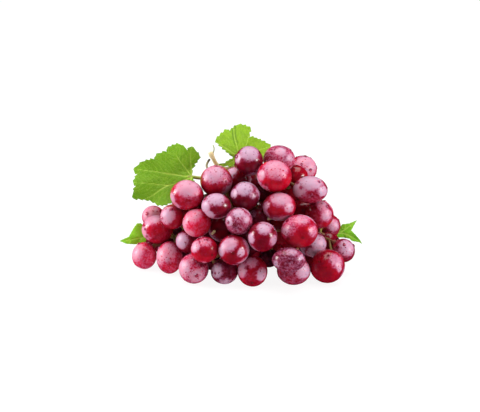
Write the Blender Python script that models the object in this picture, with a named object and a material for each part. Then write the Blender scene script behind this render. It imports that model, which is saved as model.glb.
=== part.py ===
"""A bunch of red table grapes, lying on a surface, with four vine leaves.

The bunch is one body: berries that sit on short stalks, which branch off a main stem.
A pale peduncle leaves it at the back, and the leaves grow beside that.
"""

import math

import bmesh
import bpy
import numpy as np
from mathutils import Matrix

MM = 0.001

# Sizes are in millimetres. A place that is read in the picture has three numbers: across to the
# right, up, and away, which is along the line of sight.
VIEW_ELEVATION = math.radians(20)
VIEW_DISTANCE = 1200.0
VIEW_CENTRE = (-4.0, 65.6)
RIGHT = np.array([1.0, 0.0, 0.0])
UP = np.array([0.0, math.sin(VIEW_ELEVATION), math.cos(VIEW_ELEVATION)])
AWAY = np.array([0.0, math.cos(VIEW_ELEVATION), -math.sin(VIEW_ELEVATION)])

# The middle of the footprint, which becomes the origin
ORIGIN = np.array([-2.65, 39.8, 0.0])

# Berries in sight: across, up, half width, half height, away
BERRIES_IN_SIGHT = (
    (-23.0, 85.5, 13.0, 12.5, 14.0),
    (3.0, 101.5, 11.5, 12.0, 18.0),
    (28.0, 103.0, 12.8, 11.2, 30.0),
    (23.5, 89.5, 14.0, 13.0, 8.0),
    (46.0, 95.0, 11.5, 11.0, 42.0),
    (52.0, 78.5, 14.0, 11.0, 16.0),
    (-46.5, 74.5, 13.5, 12.0, 10.0),
    (-23.0, 65.5, 12.0, 10.5, 0.0),
    (0.0, 73.5, 12.0, 11.5, 4.0),
    (-3.0, 85.5, 11.0, 10.5, 34.0),
    (27.5, 65.0, 13.5, 11.5, 1.0),
    (-5.0, 53.5, 11.0, 11.0, -6.0),
    (-38.5, 52.0, 11.5, 11.5, 10.0),
    (-58.0, 57.0, 10.0, 10.0, 19.0),
    (-73.5, 57.0, 9.0, 9.0, 52.0),
    (-70.0, 47.0, 12.5, 11.5, 35.0),
    (-45.5, 37.5, 10.0, 10.0, 24.0),
    (-32.5, 30.5, 11.0, 10.5, -6.0),
    (-9.0, 30.5, 12.5, 12.0, -9.0),
    (14.0, 41.0, 12.0, 12.0, -12.0),
    (43.5, 45.5, 15.0, 13.5, -5.0),
    (59.5, 59.0, 11.5, 11.5, 24.0),
    (67.0, 49.5, 9.5, 9.5, 46.0),
    (54.5, 35.0, 11.0, 10.5, 20.0),
    (35.0, 22.5, 13.5, 10.0, -16.0),
    (78.5, 30.0, 9.5, 9.5, 26.0),
    (67.0, 36.0, 9.0, 9.0, 36.0),
    (11.0, 56.0, 9.5, 9.5, 16.0),
    (-18.5, 48.0, 11.0, 11.0, 16.0),
    (46.5, 61.5, 11.0, 10.5, 42.0),
    (41.0, 89.0, 9.5, 9.5, 40.0),
    (37.5, 76.5, 10.0, 10.0, 44.0),
    (11.5, 84.0, 9.0, 9.0, 50.0),
    (17.0, 75.5, 8.0, 8.0, 26.0),
)
# Berries in sight that stand on the surface, which settles how far away they are
BERRIES_ON_SURFACE = (
    (39.0, 14.0, 13.5, 11.5),
    (66.0, 17.5, 14.0, 13.5),
    (-80.5, 26.0, 10.0, 11.0),
    (-60.5, 24.5, 10.5, 13.0),
    (-41.0, 15.5, 12.0, 12.0),
    (-16.5, 13.5, 11.0, 10.5),
    (6.0, 13.5, 12.0, 12.5),
    (49.0, 23.5, 8.5, 8.5),
    (19.0, 24.5, 8.0, 8.0),
    (-28.5, 21.0, 7.5, 7.5),
    (-49.5, 25.5, 7.5, 7.5),
)
FLATTENED = 0.5
NEAREST, FARTHEST = -100.0, 200.0
HALVINGS = 50
SETTLING_STEPS = 300
SETTLING_SHARE = 0.4

# Berries out of sight, which fill the bunch under a dome behind its middle
HIDDEN_SIZES = (11.8, 11.2, 10.6, 10.0, 9.4, 8.8)
HIDDEN_TRIES = 120000
HIDDEN_SEED = 5
HIDDEN_LOW = (-85.0, 0.0, 0.0)
HIDDEN_HIGH = (85.0, 88.0, 90.0)
SURFACE_PULL = 2.0
DOME_MIDDLE = 42.0
DOME_DEPTH = 44.0
DOME_ACROSS = (-88.0, -70.0, -45.0, -20.0, 5.0, 30.0, 52.0, 70.0, 88.0)
DOME_HEIGHT = (14.0, 38.0, 62.0, 76.0, 88.0, 88.0, 74.0, 40.0, 14.0)
OUTLINE_ANGLES = np.linspace(0, 2 * math.pi, 16, endpoint=False)

# Main stem and its two arms, as x, y, z and radius
TRUNK = (
    (-4.0, 75.5, 73.5, 2.2),
    (-1.5, 77.0, 70.0, 2.3),
    (-0.5, 77.0, 64.0, 2.5),
    (2.0, 69.5, 55.5, 2.6),
    (6.0, 55.0, 50.0, 2.8),
    (14.0, 47.0, 48.0, 2.6),
    (30.0, 46.0, 44.0, 2.3),
    (46.0, 46.0, 36.0, 2.0),
    (58.0, 47.0, 28.0, 1.6),
)
LEFT_ARM = (
    (6.0, 55.0, 50.0, 2.6),
    (-10.0, 49.0, 45.0, 2.4),
    (-30.0, 46.0, 36.0, 2.1),
    (-48.0, 47.0, 29.0, 1.8),
    (-58.0, 49.0, 24.0, 1.5),
)
TOP_ARM = (
    (18.0, 46.8, 47.0, 2.2),
    (26.0, 53.0, 57.0, 1.9),
    (28.0, 58.0, 69.0, 1.6),
)
STEM_ROOM = 0.6
SQUEEZE = 0.4
STEM_STEP = 4.0
PEDICEL_RADIUS = 0.9
PEDICEL_SUNK = 2.5
PEDICEL_LEAD = 1.0
STEM_SIDES = 5

PEDICEL_DIRECTIONS = 48
NEAR_TREE_POINTS = 40
TRUNK_BARE_POINTS = 3
STEM_SIGHT = 60.0
CROSSING_SAMPLES = (0.1, 0.25, 0.4, 0.55, 0.7, 0.85)
CROSSING_COST = 20.0
BENDING_STEPS = 12
BENDING_SHARE = 0.5
EVENING_SHARE = 0.2
STEM_PIECES = 4
STEM_GROWTH = 0.3
# Ends of stems that carry no berry: one that lost it, and two that hold the low leaves
BARE_ENDS = (
    (-28.3, 102.9, 37.0),
    (-77.0, 40.8, 49.0),
    (69.5, 43.0, 65.0),
)

BERRY_FACET_SWELL = 1.02
BERRY_TURN = 2.4
BERRY_COLOUR = (0.36, 0.02, 0.05)
BERRY_ROUGHNESS = 0.35
SLAB_ACROSS = (-150.0, 150.0)
SLAB_DEEP = (-100.0, 200.0)
SLAB_THICKNESS = 20.0

# The peduncle from its cut end to the bunch, as across, up, away and radius
STALK = (
    (-27.4, 108.6, 40.0, 2.3),
    (-26.8, 106.2, 40.0, 2.2),
    (-25.6, 104.0, 40.0, 1.7),
    (-23.2, 99.6, 41.0, 1.6),
    (-20.0, 97.0, 42.0, 1.5),
    (-15.2, 95.6, 43.0, 1.5),
    (-10.0, 96.6, 44.0, 1.6),
)
STALK_LEAD = 3.5
STALK_LEAD_RADIUS = 1.9
STALK_ROOM = 2.5
LEAF_ROOM = 1.5
STALK_COLOUR = (0.68, 0.55, 0.32)
STALK_ROUGHNESS = 0.6
TENDRIL = (
    (-26.4, 106.0, 40.0),
    (-25.0, 109.6, 39.0),
    (-24.8, 112.0, 38.5),
    (-25.6, 114.4, 38.5),
)
TENDRIL_RADIUS = 0.5
GAP = 0.35

BLADE_THICKNESS = 0.9
BLADE_RINGS = (0.35, 0.7, 1.0)
OUTLINE_STEP = 5.0
PETIOLE_RADIUS = 1.1
LEAF_ROUGHNESS = 0.5
# Each leaf's outline and pole are across and up. Slope is how it leans away with those two.
LEAVES = (
    {
        "name": "leaf_left",
        "outline": (
            (-42.3, 95.0), (-40.2, 99.1), (-37.8, 101.7), (-36.2, 105.8), (-38.2, 108.8),
            (-42.8, 113.4), (-46.0, 110.4), (-50.8, 114.6), (-55.8, 115.0), (-62.2, 112.4),
            (-62.6, 109.3), (-66.6, 108.4), (-71.4, 106.2), (-72.6, 103.2), (-80.0, 101.9),
            (-84.8, 99.1), (-89.4, 94.8), (-86.3, 91.1), (-89.7, 85.0), (-87.4, 81.7),
            (-89.2, 78.0), (-90.0, 71.8), (-76.5, 70.2), (-68.4, 66.2), (-65.0, 66.2),
            (-58.4, 68.4), (-51.2, 68.0), (-45.6, 72.8), (-41.6, 78.4), (-40.0, 83.2),
            (-41.2, 86.4), (-42.4, 88.8),
        ),
        "pole": (-63.2, 89.6),
        "away": 33.0,
        "slope": (0.1, 0.25),
        "cup": -4.0,
        "wave": 1.4,
        "waves": 5,
        "petiole": (
            (-46.0, 88.9, 34.0), (-42.4, 88.8, 34.8), (-33.6, 88.0, 36.0),
            (-24.8, 90.4, 39.0), (-18.0, 92.6, 41.5),
        ),
        "colour": (0.2, 0.4, 0.03),
    },
    {
        "name": "leaf_top",
        "outline": (
            (-10.0, 104.8), (-24.0, 117.6), (-20.8, 121.6), (-15.0, 127.0), (-12.4, 125.9),
            (-7.4, 130.2), (-2.0, 130.7), (4.6, 128.5), (2.9, 120.6), (7.4, 120.6),
            (13.0, 118.2), (16.6, 116.5), (20.7, 113.4), (17.6, 106.4), (10.4, 100.0),
            (4.0, 97.5), (-2.4, 97.5), (-8.8, 98.0), (-13.6, 97.6), (-19.2, 98.0),
            (-20.4, 99.4), (-15.2, 101.4),
        ),
        "pole": (-1.6, 105.6),
        "away": 41.0,
        "slope": (0.15, 0.3),
        "cup": 3.0,
        "wave": 1.2,
        "waves": 4,
        "petiole": (
            (-3.0, 106.0, 41.2), (-4.0, 104.0, 41.0), (-5.0, 101.6, 41.6), (-6.0, 99.6, 42.6),
        ),
        "colour": (0.3, 0.52, 0.05),
    },
    {
        "name": "leaf_low_left",
        "outline": (
            (-100.2, 37.7), (-92.8, 41.1), (-89.2, 47.8), (-86.2, 51.8), (-83.1, 51.8),
            (-80.4, 48.8), (-78.4, 44.0), (-78.4, 40.0), (-80.0, 36.4), (-82.1, 36.1),
            (-87.2, 35.0), (-94.8, 35.3),
        ),
        "pole": (-85.6, 41.6),
        "away": 50.0,
        "slope": (0.1, 0.2),
        "cup": 2.0,
        "wave": 0.8,
        "waves": 3,
        "petiole": (),
        "colour": (0.24, 0.48, 0.05),
    },
    {
        "name": "leaf_low_right",
        "outline": (
            (89.4, 54.2), (83.8, 51.8), (77.6, 50.9), (75.6, 47.8), (72.0, 46.8),
            (71.2, 43.6), (74.1, 40.4), (78.6, 40.4), (83.3, 39.6), (85.8, 37.6),
            (90.9, 36.8), (93.8, 35.3), (91.4, 39.1), (87.8, 43.2), (85.0, 46.0),
            (86.8, 49.6),
        ),
        "pole": (79.2, 44.8),
        "away": 64.0,
        "slope": (-0.1, 0.2),
        "cup": 2.0,
        "wave": 0.8,
        "waves": 3,
        "petiole": (),
        "colour": (0.2, 0.42, 0.04),
    },
)


def seen(across, up, away):
    """The point that is seen at across and up, this far away."""
    scale = 1 + away / VIEW_DISTANCE
    right = VIEW_CENTRE[0] + (across - VIEW_CENTRE[0]) * scale
    rise = VIEW_CENTRE[1] + (up - VIEW_CENTRE[1]) * scale
    return right * RIGHT + rise * UP + away * AWAY


def in_picture(point):
    """Where a point is seen: across and up."""
    scale = 1 + (point @ AWAY) / VIEW_DISTANCE
    across = VIEW_CENTRE[0] + (point @ RIGHT - VIEW_CENTRE[0]) / scale
    up = VIEW_CENTRE[1] + (point @ UP - VIEW_CENTRE[1]) / scale
    return across, up, scale


def resting_height(radii):
    """The height of a berry's middle when it stands on its flattened spot."""
    return math.hypot(radii[1] * UP[2], radii[2] * AWAY[2]) - FLATTENED


def berry_in_sight(across, up, half_width, half_height, away):
    """A berry's middle and its radii along RIGHT, UP and AWAY."""
    scale = 1 + away / VIEW_DISTANCE
    half_depth = (half_width + half_height) / 2
    return seen(across, up, away), scale * np.array([half_width, half_height, half_depth])


def berry_on_surface(across, up, half_width, half_height):
    """As berry_in_sight, as far away as brings the berry down to the surface."""
    near, far = NEAREST, FARTHEST
    for _ in range(HALVINGS):
        away = (near + far) / 2
        middle, radii = berry_in_sight(across, up, half_width, half_height, away)
        if middle[2] > resting_height(radii):
            near = away
        else:
            far = away
    return middle, radii


def reach(radii, direction):
    """A berry's radius in a direction. Both may be rows of many."""
    along = np.stack([direction @ RIGHT, direction @ UP, direction @ AWAY], axis=-1)
    return 1 / np.sqrt(((along / radii) ** 2).sum(axis=-1))


def overlaps(middles, radii):
    """How deep each two berries overlap, and the direction from one to the other."""
    between = middles[None] - middles[:, None]
    distance = np.linalg.norm(between, axis=-1)
    np.fill_diagonal(distance, 1.0)
    direction = between / distance[..., None]
    np.fill_diagonal(direction[..., 2], 1.0)
    own = reach(radii[:, None], direction)
    depth = own + own.T - distance
    np.fill_diagonal(depth, 0.0)
    return np.maximum(depth, 0.0), direction


def settled_berries_in_sight():
    """The berries in sight, moved along the line of sight until they no longer overlap."""
    standing = [berry_on_surface(*row) for row in BERRIES_ON_SURFACE]
    aways = np.array([row[-1] for row in BERRIES_IN_SIGHT])
    for _ in range(SETTLING_STEPS):
        loose = [berry_in_sight(*row[:4], away) for row, away in zip(BERRIES_IN_SIGHT, aways)]
        middles = np.array([middle for middle, _ in loose + standing])
        radii = np.array([size for _, size in loose + standing])
        depth, direction = overlaps(middles, radii)
        push = (depth * (direction @ AWAY)).sum(axis=1)
        aways = np.round(aways - SETTLING_SHARE * push[: len(aways)], 4)
    return middles, radii


def stem_points(path):
    """Points along a stem, STEM_STEP apart, with the radius there."""
    path = np.array(path)
    rows = []
    for start, end in zip(path, path[1:]):
        count = max(1, round(np.linalg.norm(end[:3] - start[:3]) / STEM_STEP))
        rows += [start + (end - start) * step / count for step in range(count)]
    return np.array(rows + [path[-1]])


def profiles(across, middles, radii):
    """The top and bottom edge, in the picture, of the berries in sight."""
    own_across, own_up, scale = in_picture(middles)
    aside = (across[:, None] - own_across) / (radii[:, 0] / scale)
    rise = np.sqrt(np.maximum(1 - aside**2, 0)) * radii[:, 1] / scale
    top = np.where(aside**2 < 1, own_up + rise, -np.inf).max(axis=1)
    bottom = np.where(aside**2 < 1, own_up - rise, np.inf).min(axis=1)
    return top, bottom


def out_of_sight(points, size, middles, radii):
    """Whether berries of this size are behind the ones in sight and inside their outline."""
    across, up, scale = in_picture(points)
    own_across, own_up, own_scale = in_picture(middles)
    aside = (across[:, None] - own_across) / ((radii[:, 0] / own_scale) + size)
    above = (up[:, None] - own_up) / ((radii[:, 1] / own_scale) + size)
    in_front = (aside**2 + above**2 < 1) & (scale[:, None] < own_scale)
    hidden = ~in_front.any(axis=1)
    for angle in OUTLINE_ANGLES:
        edge_up = up + size / scale * math.sin(angle)
        top, bottom = profiles(across + size / scale * math.cos(angle), middles, radii)
        hidden &= (edge_up < top) & (edge_up > bottom)
    return hidden


def least_gap(points, rows):
    """Each point's distance to the nearest of the rows, which are x, y, z and radius."""
    gap = np.full(len(points), np.inf)
    for row in rows:
        gap = np.minimum(gap, np.linalg.norm(points - row[:3], axis=1) - row[3])
    return gap


def hidden_berries(middles, radii, stem, obstacles):
    """Berries that fill the bunch out of sight, those nearest the stem first."""
    random = np.random.default_rng(HIDDEN_SEED)
    points = random.uniform(HIDDEN_LOW, HIDDEN_HIGH, (HIDDEN_TRIES, 3))
    outward = least_gap(points, stem)
    room = np.minimum(outward - STEM_ROOM, least_gap(points, obstacles))
    room = np.minimum(room, least_gap(points, np.column_stack([middles, radii.mean(axis=1)])))
    behind = np.maximum(points[:, 1] - DOME_MIDDLE, 0) / DOME_DEPTH
    height = points[:, 2] / np.interp(points[:, 0], DOME_ACROSS, DOME_HEIGHT)
    inside = behind**2 + height**2 < 1
    found = []
    for size in HIDDEN_SIZES:
        fits = (points[:, 2] > size - FLATTENED) & inside & (room > size - SQUEEZE)
        fits[fits] = out_of_sight(points[fits], size, middles, radii)
        while fits.any():
            chosen = np.flatnonzero(fits)[outward[fits].argmin()]
            middle = points[chosen].copy()
            if middle[2] < size + SURFACE_PULL:
                middle[2] = size - FLATTENED
            found.append((middle, size))
            room = np.minimum(room, np.linalg.norm(points - middle, axis=1) - size)
            fits &= room > size - SQUEEZE
    return found


def spread_directions(count):
    """Directions spread evenly over a sphere."""
    turn = math.pi * (3 - math.sqrt(5))
    rise = 1 - (2 * np.arange(count) + 1) / count
    flat = np.sqrt(1 - rise**2)
    angle = turn * np.arange(count)
    return np.stack([flat * np.cos(angle), flat * np.sin(angle), rise], axis=1)


def crossing(starts, ends, middles, sizes):
    """How much of the way from each start to each end lies in berries, in millimetres."""
    total = np.zeros((len(starts), len(ends)))
    for fraction in CROSSING_SAMPLES:
        points = starts[:, None] * (1 - fraction) + ends[None] * fraction
        gap = np.linalg.norm(points[:, :, None] - middles, axis=-1) - sizes
        total += np.maximum(-gap, 0).sum(axis=-1)
    return total / len(CROSSING_SAMPLES)


def bent_clear(path, middles, sizes):
    """The path with its inner points pushed out of the berries."""
    path = path.copy()
    for _ in range(BENDING_STEPS):
        inner = path[1:-1]
        away_from = inner[:, None] - middles
        distance = np.linalg.norm(away_from, axis=-1)
        depth = np.maximum(sizes - distance, 0)
        push = (away_from * (depth / distance)[..., None]).sum(axis=1)
        inner = inner + BENDING_SHARE * push
        even = (path[:-2] + path[2:]) / 2
        path[1:-1] = inner + EVENING_SHARE * (even - inner)
    return path


def grown_stem(starts, tree, middles, sizes):
    """The easiest way from one of the starts to the tree, and the tree point it joins."""
    near = np.argsort(np.linalg.norm(tree - starts.mean(axis=0), axis=1))[:NEAR_TREE_POINTS]
    ends = tree[near]
    length = np.linalg.norm(starts[:, None] - ends, axis=-1)
    cost = length + CROSSING_COST * crossing(starts, ends, middles, sizes)
    start, end = np.unravel_index(cost.argmin(), cost.shape)
    way = np.linspace(0, 1, STEM_PIECES + 1)[:, None]
    path = starts[start] * (1 - way) + ends[end] * way
    return bent_clear(path, middles, sizes), near[end]


def grown_stems(middles, radii, obstacles):
    """The stems from each berry and each bare end to the main stem: points and end radii."""
    arms = [stem_points(path) for path in (TRUNK, LEFT_ARM, TOP_ARM)]
    tree = np.vstack(arms)[TRUNK_BARE_POINTS:, :3]
    owner = [-1] * len(tree)
    solid = np.vstack([middles, obstacles[:, :3]])
    sizes = np.append(radii.mean(axis=1), obstacles[:, 3]) + PEDICEL_RADIUS
    directions = spread_directions(PEDICEL_DIRECTIONS)
    bare = [seen(*point) for point in BARE_ENDS]
    nearest = [np.linalg.norm(tree - middle, axis=1).min() for middle in middles]
    stems = []
    for index in list(np.argsort(nearest)) + [None] * len(bare):
        if index is None:
            starts = np.array([bare[len(stems) - len(middles)]])
        else:
            far_out = reach(radii[index], directions) + PEDICEL_LEAD
            starts = middles[index] + far_out[:, None] * directions
        close = np.linalg.norm(solid - starts.mean(axis=0), axis=1) < STEM_SIGHT
        path, joined = grown_stem(starts, tree, solid[close], sizes[close])
        if index is not None:
            inward = middles[index] - path[0]
            inward /= np.linalg.norm(inward)
            path = np.vstack([path[0] + (PEDICEL_LEAD + PEDICEL_SUNK) * inward, path])
        stems.append((index, path, owner[joined]))
        tree = np.vstack([tree, path[2:-1]])
        owner += [len(stems) - 1] * len(path[2:-1])
    carried = [1] * len(stems)
    for number in reversed(range(len(stems))):
        if stems[number][2] >= 0:
            carried[stems[number][2]] += carried[number]
    return [
        (index, path, PEDICEL_RADIUS * count**STEM_GROWTH)
        for (index, path, _), count in zip(stems, carried)
    ]


def placed(point):
    """A point in millimetres as Blender's metres, measured from the origin."""
    return (np.asarray(point) - ORIGIN) * MM


def add_object(name, vertices, faces, collection=None):
    """A closed mesh as an object, its faces turned outwards."""
    mesh = bpy.data.meshes.new(name)
    mesh.from_pydata([placed(vertex) for vertex in vertices], [], faces)
    work = bmesh.new()
    work.from_mesh(mesh)
    bmesh.ops.recalc_face_normals(work, faces=work.faces)
    work.to_mesh(mesh)
    work.free()
    thing = bpy.data.objects.new(name, mesh)
    (collection or bpy.context.scene.collection).objects.link(thing)
    return thing


def tube_mesh(path, radii):
    """The vertices and faces of a tube of STEM_SIDES sides along a path."""
    path = np.asarray(path)
    heading = np.gradient(path, axis=0)
    heading /= np.linalg.norm(heading, axis=1)[:, None]
    side = np.cross(heading[0], AWAY + 0.1 * RIGHT)
    vertices = []
    for point, along, radius in zip(path, heading, np.broadcast_to(radii, len(path))):
        side = side - along * (side @ along)
        side /= np.linalg.norm(side)
        other = np.cross(along, side)
        for step in range(STEM_SIDES):
            angle = 2 * math.pi * step / STEM_SIDES
            vertices.append(point + radius * (math.cos(angle) * side + math.sin(angle) * other))
    faces = [tuple(range(STEM_SIDES)), tuple(range(len(vertices) - STEM_SIDES, len(vertices)))]
    for ring in range(len(path) - 1):
        for step in range(STEM_SIDES):
            first = ring * STEM_SIDES + step
            second = ring * STEM_SIDES + (step + 1) % STEM_SIDES
            faces.append((first, second, second + STEM_SIDES, first + STEM_SIDES))
    return vertices, faces


def add_berry(middle, radii, turn, collection):
    """A faceted berry, with its radii along RIGHT, UP and AWAY."""
    work = bmesh.new()
    bmesh.ops.create_icosphere(work, subdivisions=2, radius=BERRY_FACET_SWELL)
    bmesh.ops.rotate(work, verts=work.verts, matrix=Matrix.Rotation(turn, 3, "Z"))
    axes = np.stack([RIGHT, UP, AWAY])
    shape = axes.T @ np.diag(radii) @ axes
    vertices = [middle + shape @ np.array(vertex.co) for vertex in work.verts]
    faces = [tuple(vertex.index for vertex in face.verts) for face in work.faces]
    work.free()
    return add_object("berry", vertices, faces, collection)


def combine(thing, others, operation):
    """Joins or cuts an object with a collection's objects, which are then removed."""
    modifier = thing.modifiers.new("combine", "BOOLEAN")
    modifier.operation = operation
    modifier.operand_type = "COLLECTION"
    modifier.collection = others
    modifier.solver = "MANIFOLD"
    graph = bpy.context.evaluated_depsgraph_get()
    mesh = bpy.data.meshes.new_from_object(thing.evaluated_get(graph))
    thing.modifiers.clear()
    thing.data = mesh
    for other in list(others.objects):
        bpy.data.objects.remove(other)
    bpy.data.collections.remove(others)


def keep_outer_surface(thing):
    """Fills the pockets that joining the pieces has sealed, and drops loose scraps."""
    work = bmesh.new()
    work.from_mesh(thing.data)
    left = set(work.verts)
    surfaces = []
    while left:
        found = [left.pop()]
        for vertex in found:
            for edge in vertex.link_edges:
                other = edge.other_vert(vertex)
                if other in left:
                    left.remove(other)
                    found.append(other)
        surfaces.append(found)
    surfaces.sort(key=len)
    for surface in surfaces[:-1]:
        bmesh.ops.delete(work, geom=surface, context="VERTS")
    work.to_mesh(thing.data)
    work.free()


def new_collection(name):
    collection = bpy.data.collections.new(name)
    bpy.context.scene.collection.children.link(collection)
    return collection


def coloured(thing, name, colour, roughness):
    """Gives an object its own material."""
    material = bpy.data.materials.new(name)
    material.use_nodes = True
    shader = material.node_tree.nodes["Principled BSDF"]
    shader.inputs["Base Color"].default_value = (*colour, 1)
    shader.inputs["Roughness"].default_value = roughness
    thing.data.materials.clear()
    thing.data.materials.append(material)


def slab_mesh():
    """The vertices and faces of a block under the surface, wider than the bunch."""
    vertices = [(x, y, z) for x in SLAB_ACROSS for y in SLAB_DEEP for z in (-SLAB_THICKNESS, 0)]
    faces = [(0, 1, 3, 2), (4, 6, 7, 5), (0, 4, 5, 1), (2, 3, 7, 6), (0, 2, 6, 4), (1, 5, 7, 3)]
    return vertices, faces


def add_bunch(middles, radii, obstacles):
    """The berries, fused with their stems, flattened where they rest on the surface."""
    parts = new_collection("bunch parts")
    trunk = stem_points(TRUNK)
    bunch = add_object("bunch", *tube_mesh(trunk[:, :3], trunk[:, 3]))
    for path in (LEFT_ARM, TOP_ARM):
        arm = stem_points(path)
        add_object("arm", *tube_mesh(arm[:, :3], arm[:, 3]), parts)
    for _, path, radius in grown_stems(middles, radii, obstacles):
        widths = np.linspace(PEDICEL_RADIUS, radius, len(path))
        add_object("pedicel", *tube_mesh(path, widths), parts)
    for number, (middle, size) in enumerate(zip(middles, radii)):
        add_berry(middle, size, BERRY_TURN * number, parts)
    combine(bunch, parts, "UNION")
    below = new_collection("below the surface")
    add_object("surface", *slab_mesh(), below)
    combine(bunch, below, "DIFFERENCE")
    keep_outer_surface(bunch)
    coloured(bunch, "berry skin", BERRY_COLOUR, BERRY_ROUGHNESS)


def refined(outline):
    """The outline with points added so that none are more than OUTLINE_STEP apart."""
    points = []
    outline = np.array(outline)
    for start, end in zip(outline, np.roll(outline, -1, axis=0)):
        count = math.ceil(np.linalg.norm(end - start) / OUTLINE_STEP)
        points += [start + (end - start) * step / count for step in range(count)]
    return np.array(points)


def blade_mesh(leaf):
    """A leaf's waved blade: rings of points from its pole out to the outline, on both faces."""
    outline = refined(leaf["outline"])
    pole = np.array(leaf["pole"])
    count = len(outline)
    size = np.linalg.norm(outline - pole, axis=1).max()

    def point(flat, fraction, angle, face):
        offset = flat - pole
        away = leaf["away"] + offset @ np.array(leaf["slope"])
        away += leaf["cup"] * (offset @ offset) / size**2
        away += leaf["wave"] * fraction**2 * math.sin(leaf["waves"] * angle)
        return seen(*flat, away + face * BLADE_THICKNESS / 2)

    vertices = []
    for face in (-1, 1):
        vertices.append(point(pole, 0, 0, face))
        for fraction in BLADE_RINGS:
            for end in outline:
                angle = math.atan2(*(end - pole)[::-1])
                vertices.append(point(pole + fraction * (end - pole), fraction, angle, face))
    layer = 1 + count * len(BLADE_RINGS)
    faces = []
    for start in (0, layer):
        for step in range(count):
            after = (step + 1) % count
            faces.append((start, start + 1 + step, start + 1 + after))
            for ring in range(len(BLADE_RINGS) - 1):
                a = start + 1 + ring * count + step
                b = start + 1 + ring * count + after
                faces += [(a, a + count, b + count), (a, b + count, b)]
    rim = 1 + count * (len(BLADE_RINGS) - 1)
    for step in range(count):
        a = rim + step
        b = rim + (step + 1) % count
        faces += [(a, b, b + layer), (a, b + layer, a + layer)]
    return vertices, faces


def add_leaf(leaf):
    """A leaf: its blade, and its petiole where it has one."""
    blade = add_object(leaf["name"], *blade_mesh(leaf))
    if leaf["petiole"]:
        parts = new_collection("petiole")
        path = [seen(*point) for point in leaf["petiole"]]
        add_object("petiole", *tube_mesh(path, PETIOLE_RADIUS), parts)
        combine(blade, parts, "UNION")
    coloured(blade, leaf["name"], leaf["colour"], LEAF_ROUGHNESS)


def stalk_path():
    """The peduncle's points and radii, down to its narrow gap to the trunk."""
    meeting = np.array(TRUNK[0][:3])
    towards = meeting - np.array(TRUNK[1][:3])
    towards /= np.linalg.norm(towards)
    path = [seen(*point[:3]) for point in STALK]
    path += [meeting + towards * STALK_LEAD, meeting + towards * GAP]
    return path, [point[3] for point in STALK] + [STALK_LEAD_RADIUS, TRUNK[0][3]]


def add_stalk():
    """The peduncle, with the knob where it was cut and a thin tendril."""
    path, radii = stalk_path()
    stalk = add_object("stalk", *tube_mesh(path, radii))
    parts = new_collection("tendril")
    tendril = [seen(*point) for point in TENDRIL]
    add_object("tendril", *tube_mesh(tendril, TENDRIL_RADIUS), parts)
    combine(stalk, parts, "UNION")
    coloured(stalk, "stalk bark", STALK_COLOUR, STALK_ROUGHNESS)


def main():
    for thing in list(bpy.data.objects):
        bpy.data.objects.remove(thing)
    middles, radii = settled_berries_in_sight()
    stem = np.vstack([stem_points(path) for path in (TRUNK, LEFT_ARM, TOP_ARM)])
    obstacles = [(*point, STALK_ROOM) for point in stalk_path()[0]]
    for leaf in LEAVES:
        obstacles += [(*vertex, LEAF_ROOM) for vertex in blade_mesh(leaf)[0]]
        obstacles += [(*seen(*point), STALK_ROOM) for point in leaf["petiole"]]
    obstacles = np.array(obstacles)
    found = hidden_berries(middles, radii, stem, obstacles)
    middles = np.vstack([middles] + [middle for middle, _ in found])
    radii = np.vstack([radii] + [np.full(3, size) for _, size in found])
    add_bunch(middles, radii, obstacles)
    add_stalk()
    for leaf in LEAVES:
        add_leaf(leaf)


main()
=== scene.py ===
"""How the bunch of red grapes looks: berries, stems, leaves, light and camera.

The berries are where the CAD source's rules put them and the stems are worked out as there, so
each piece lies on the solid that it stands for, apart from the few berries in NUDGES.
Everything is built in millimetres and placed in metres.
"""

import math

import bpy
import numpy as np
from mathutils import Matrix, Vector, geometry


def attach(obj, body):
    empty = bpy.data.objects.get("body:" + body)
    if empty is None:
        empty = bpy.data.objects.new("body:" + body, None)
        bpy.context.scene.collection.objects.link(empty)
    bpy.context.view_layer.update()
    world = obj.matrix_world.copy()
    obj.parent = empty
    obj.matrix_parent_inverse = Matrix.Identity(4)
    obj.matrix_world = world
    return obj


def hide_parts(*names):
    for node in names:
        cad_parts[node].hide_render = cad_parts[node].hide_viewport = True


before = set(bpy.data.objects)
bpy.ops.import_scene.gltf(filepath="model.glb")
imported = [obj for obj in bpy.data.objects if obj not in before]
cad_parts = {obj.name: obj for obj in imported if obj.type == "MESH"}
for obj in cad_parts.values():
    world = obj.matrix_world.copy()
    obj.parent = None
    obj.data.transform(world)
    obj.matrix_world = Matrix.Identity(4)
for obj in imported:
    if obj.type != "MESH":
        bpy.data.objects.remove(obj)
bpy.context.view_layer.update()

MM = 0.001

# Sizes are in millimetres. A place that is read in the picture has three numbers: across to the
# right, up, and away, which is along the line of sight.
VIEW_ELEVATION = math.radians(20)
VIEW_DISTANCE = 1200.0
VIEW_CENTRE = (-4.0, 65.6)
RIGHT = np.array([1.0, 0.0, 0.0])
UP = np.array([0.0, math.sin(VIEW_ELEVATION), math.cos(VIEW_ELEVATION)])
AWAY = np.array([0.0, math.cos(VIEW_ELEVATION), -math.sin(VIEW_ELEVATION)])

# The middle of the footprint, which becomes the origin
ORIGIN = np.array([-2.65, 39.8, 0.0])

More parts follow.
